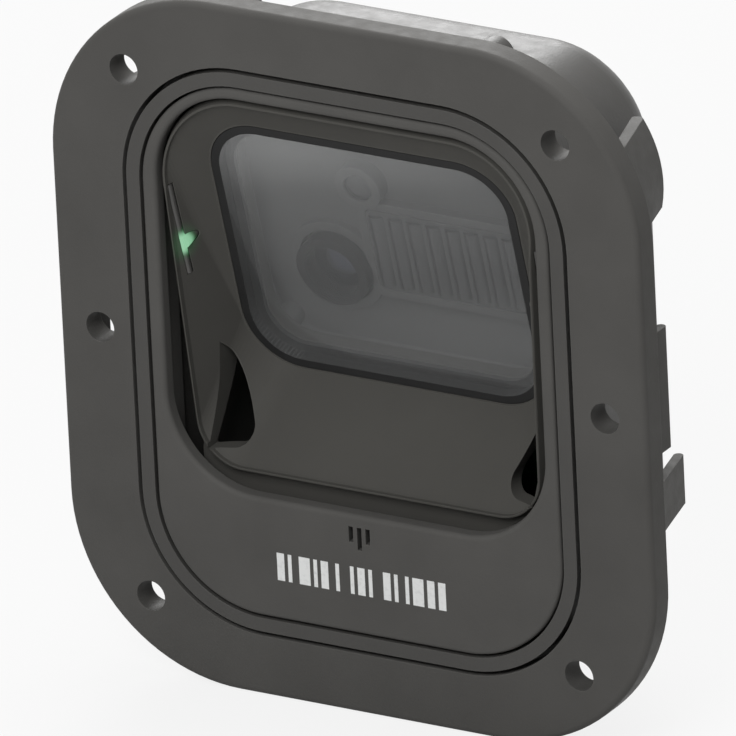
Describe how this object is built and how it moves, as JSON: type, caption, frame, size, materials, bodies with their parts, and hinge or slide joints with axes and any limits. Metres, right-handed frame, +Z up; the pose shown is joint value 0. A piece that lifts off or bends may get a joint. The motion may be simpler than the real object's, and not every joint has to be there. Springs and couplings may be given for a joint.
{
  "type": "fixed barcode reader",
  "caption": "Panel-mounted fixed barcode reader with a flat bezel, a hooded reading recess, a tilted tinted window, a green light pipe and a rounded rear housing.",
  "frame": {"origin": "centre of the bezel's opening, on the bezel's back face that sits on the panel", "axes": "+Z up along the bezel's height, +X to the right seen from the front, -Y out of the front face"},
  "size_m": [0.104, 0.0375, 0.1148],
  "materials": {
    "bezel_plastic": "fine-grained moulded plastic, matte dark grey",
    "housing_plastic": "fine-grained moulded plastic, matte dark grey",
    "cover_plastic": "fine-grained moulded plastic, matte dark grey",
    "frame_plastic": "satin moulded plastic, dark grey",
    "gasket_rubber": "black, dull",
    "window_glass": "grey tinted, polished",
    "light_pipe_plastic": "frosted clear plastic, lit green",
    "chassis_plastic": "black, dull",
    "clear_plastic": "clear moulded plastic",
    "circuit_board": "green solder mask",
    "lamp_chip": "pale encapsulated lamp chips",
    "lens_glass": "coated glass, polished",
    "black_plastic": "black moulded plastic",
    "connector_plastic": "ivory moulded plastic",
    "flex_film": "amber film",
    "contact_brass": "plated spring wire",
    "screw_steel": "plated steel"
  },
  "bodies": {
    "root": {"mounting_bezel": "bezel_plastic", "rear_housing": "housing_plastic", "front_cover": "cover_plastic", "window_frame": "frame_plastic", "window_gasket": "gasket_rubber", "scan_window": "window_glass", "light_pipe_left": "light_pipe_plastic", "light_pipe_right": "light_pipe_plastic", "optics_chassis": "chassis_plastic", "illumination_lens": "clear_plastic", "aimer_lens": "clear_plastic", "illumination_board": "circuit_board", "illumination_leds": "lamp_chip", "aimer_led": "lamp_chip", "indicator_leds": "lamp_chip", "lens_holder": "black_plastic", "objective_lens": "lens_glass", "imager_board": "circuit_board", "image_sensor": "black_plastic", "board_header": "black_plastic", "main_board": "circuit_board", "processor_chip": "black_plastic", "memory_chip": "black_plastic", "flex_connector": "connector_plastic", "flex_cable": "flex_film", "interface_jack": "black_plastic", "jack_contacts": "contact_brass", "beeper": "black_plastic", "bezel_screws": "screw_steel", "cover_screws": "screw_steel", "frame_screws": "screw_steel", "chassis_screws": "screw_steel", "board_screws": "screw_steel"}
  },
  "joints": []
}
